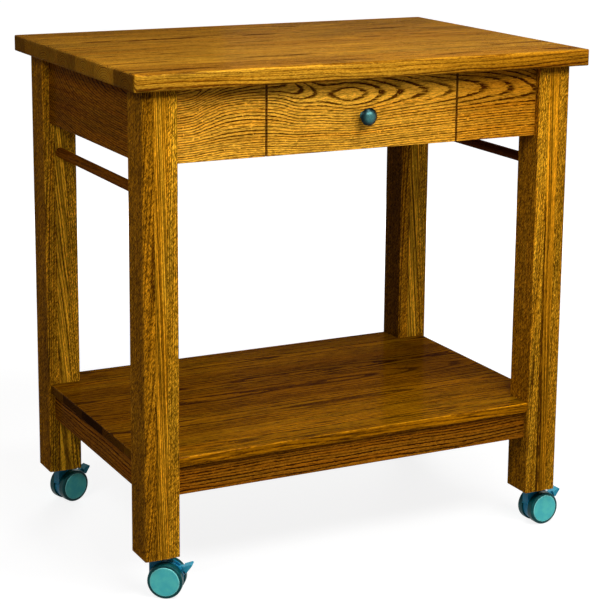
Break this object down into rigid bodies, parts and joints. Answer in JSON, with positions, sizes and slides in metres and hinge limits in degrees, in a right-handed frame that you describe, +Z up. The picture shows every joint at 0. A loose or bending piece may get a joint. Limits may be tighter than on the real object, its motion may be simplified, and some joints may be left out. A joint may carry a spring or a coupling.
{
  "type": "kitchen trolley",
  "caption": "Oak kitchen trolley with a thick work top, a drawer in the apron, two towel bars, a low shelf and swivelling twin-wheel casters with foot brakes.",
  "frame": {"origin": "on the floor, below the middle of the work top", "axes": "+X to the right and +Y to the back, seen from the drawer's side; +Z up out of the work top"},
  "size_m": [0.9161, 0.63, 0.941],
  "materials": {
    "oak_top": "satin oiled oak, boards glued along the length",
    "oak_frame": "satin stained oak",
    "oak_shelf": "satin stained oak, darker",
    "maple": "clear satin maple",
    "zinc_steel": "zinc plated",
    "knob_metal": "dark satin metal",
    "caster_housing": "satin moulded plastic, blue-green",
    "caster_wheel": "blue-green moulded wheel with a darker tread"
  },
  "bodies": {
    "root": {"top": "oak_top", "leg_front_left": "oak_frame", "leg_front_right": "oak_frame", "leg_back_left": "oak_frame", "leg_back_right": "oak_frame", "apron_front_left": "oak_frame", "apron_front_right": "oak_frame", "apron_back": "oak_frame", "apron_left": "oak_frame", "apron_right": "oak_frame", "drawer_rail_upper": "oak_frame", "drawer_rail_lower": "oak_frame", "drawer_guide_left": "oak_frame", "drawer_guide_right": "oak_frame", "top_buttons": "oak_frame", "top_screws": "zinc_steel", "towel_bar_left": "oak_frame", "towel_bar_right": "oak_frame", "shelf": "oak_shelf", "shelf_rail_front": "oak_frame", "shelf_rail_back": "oak_frame", "shelf_rail_left": "oak_frame", "shelf_rail_right": "oak_frame", "slide_cabinet_left": "zinc_steel", "slide_cabinet_right": "zinc_steel", "caster_stems": "zinc_steel"},
    "drawer": {"drawer_front": "oak_frame", "drawer_box_front": "maple", "drawer_box_back": "maple", "drawer_side_left": "maple", "drawer_side_right": "maple", "drawer_bottom": "maple", "slide_drawer_left": "zinc_steel", "slide_drawer_right": "zinc_steel", "knob": "knob_metal", "knob_screw": "zinc_steel"},
    "slide_middle_left": {"slide_middle_left": "zinc_steel"},
    "slide_middle_right": {"slide_middle_right": "zinc_steel"},
    "caster_front_left": {"hood_front_left": "caster_housing", "axle_front_left": "zinc_steel"},
    "brake_front_left": {"brake_front_left": "caster_housing"},
    "wheel_outer_front_left": {"wheel_outer_front_left": "caster_wheel"},
    "wheel_inner_front_left": {"wheel_inner_front_left": "caster_wheel"},
    "caster_front_right": {"hood_front_right": "caster_housing", "axle_front_right": "zinc_steel"},
    "brake_front_right": {"brake_front_right": "caster_housing"},
    "wheel_outer_front_right": {"wheel_outer_front_right": "caster_wheel"},
    "wheel_inner_front_right": {"wheel_inner_front_right": "caster_wheel"},
    "caster_back_left": {"hood_back_left": "caster_housing", "axle_back_left": "zinc_steel"},
    "brake_back_left": {"brake_back_left": "caster_housing"},
    "wheel_outer_back_left": {"wheel_outer_back_left": "caster_wheel"},
    "wheel_inner_back_left": {"wheel_inner_back_left": "caster_wheel"},
    "caster_back_right": {"hood_back_right": "caster_housing", "axle_back_right": "zinc_steel"},
    "brake_back_right": {"brake_back_right": "caster_housing"},
    "wheel_outer_back_right": {"wheel_outer_back_right": "caster_wheel"},
    "wheel_inner_back_right": {"wheel_inner_back_right": "caster_wheel"}
  },
  "joints": [
    {"name": "drawer_slide", "type": "slide", "parent": "root", "child": "drawer", "axis": [0, -1, 0], "range_m": [0, 0.35]},
    {"name": "slide_left_extend", "type": "slide", "parent": "root", "child": "slide_middle_left", "axis": [0, -1, 0], "range_m": [0, 0.175]},
    {"name": "slide_right_extend", "type": "slide", "parent": "root", "child": "slide_middle_right", "axis": [0, -1, 0], "range_m": [0, 0.175]},
    {"name": "swivel_front_left", "type": "hinge", "parent": "root", "child": "caster_front_left", "pos_m": [-0.396, -0.253, 0.076], "axis": [0, 0, 1], "continuous": true},
    {"name": "spin_outer_front_left", "type": "hinge", "parent": "caster_front_left", "child": "wheel_outer_front_left", "pos_m": [-0.37962, -0.26447, 0.032], "axis": [0.5736, 0.8192, 0], "continuous": true},
    {"name": "spin_inner_front_left", "type": "hinge", "parent": "caster_front_left", "child": "wheel_inner_front_left", "pos_m": [-0.37962, -0.26447, 0.032], "axis": [0.5736, 0.8192, 0], "continuous": true},
    {"name": "brake_press_front_left", "type": "hinge", "parent": "caster_front_left", "child": "brake_front_left", "pos_m": [-0.36232, -0.27659, 0.04896], "axis": [0.5736, 0.8192, 0], "range_deg": [0, 18]},
    {"name": "swivel_front_right", "type": "hinge", "parent": "root", "child": "caster_front_right", "pos_m": [0.396, -0.253, 0.076], "axis": [0, 0, 1], "continuous": true},
    {"name": "spin_outer_front_right", "type": "hinge", "parent": "caster_front_right", "child": "wheel_outer_front_right", "pos_m": [0.41595, -0.2516, 0.032], "axis": [-0.0698, 0.9976, 0], "continuous": true},
    {"name": "spin_inner_front_right", "type": "hinge", "parent": "caster_front_right", "child": "wheel_inner_front_right", "pos_m": [0.41595, -0.2516, 0.032], "axis": [-0.0698, 0.9976, 0], "continuous": true},
    {"name": "brake_press_front_right", "type": "hinge", "parent": "caster_front_right", "child": "brake_front_right", "pos_m": [0.43702, -0.25013, 0.04896], "axis": [-0.0698, 0.9976, 0], "range_deg": [0, 18]},
    {"name": "swivel_back_left", "type": "hinge", "parent": "root", "child": "caster_back_left", "pos_m": [-0.396, 0.253, 0.076], "axis": [0, 0, 1], "continuous": true},
    {"name": "spin_outer_back_left", "type": "hinge", "parent": "caster_back_left", "child": "wheel_outer_back_left", "pos_m": [-0.37698, 0.25918, 0.032], "axis": [-0.309, 0.9511, 0], "continuous": true},
    {"name": "spin_inner_back_left", "type": "hinge", "parent": "caster_back_left", "child": "wheel_inner_back_left", "pos_m": [-0.37698, 0.25918, 0.032], "axis": [-0.309, 0.9511, 0], "continuous": true},
    {"name": "brake_press_back_left", "type": "hinge", "parent": "caster_back_left", "child": "brake_back_left", "pos_m": [-0.35689, 0.26571, 0.04896], "axis": [-0.309, 0.9511, 0], "range_deg": [0, 18]},
    {"name": "swivel_back_right", "type": "hinge", "parent": "root", "child": "caster_back_right", "pos_m": [0.396, 0.253, 0.076], "axis": [0, 0, 1], "continuous": true},
    {"name": "spin_outer_back_right", "type": "hinge", "parent": "caster_back_right", "child": "wheel_outer_back_right", "pos_m": [0.41398, 0.26177, 0.032], "axis": [-0.4384, 0.8988, 0], "continuous": true},
    {"name": "spin_inner_back_right", "type": "hinge", "parent": "caster_back_right", "child": "wheel_inner_back_right", "pos_m": [0.41398, 0.26177, 0.032], "axis": [-0.4384, 0.8988, 0], "continuous": true},
    {"name": "brake_press_back_right", "type": "hinge", "parent": "caster_back_right", "child": "brake_back_right", "pos_m": [0.43296, 0.27103, 0.04896], "axis": [-0.4384, 0.8988, 0], "range_deg": [0, 18]}
  ],
  "couplings": [
    {"joint": "slide_left_extend", "follows": "drawer_slide", "ratio": 0.5},
    {"joint": "slide_right_extend", "follows": "drawer_slide", "ratio": 0.5}
  ]
}
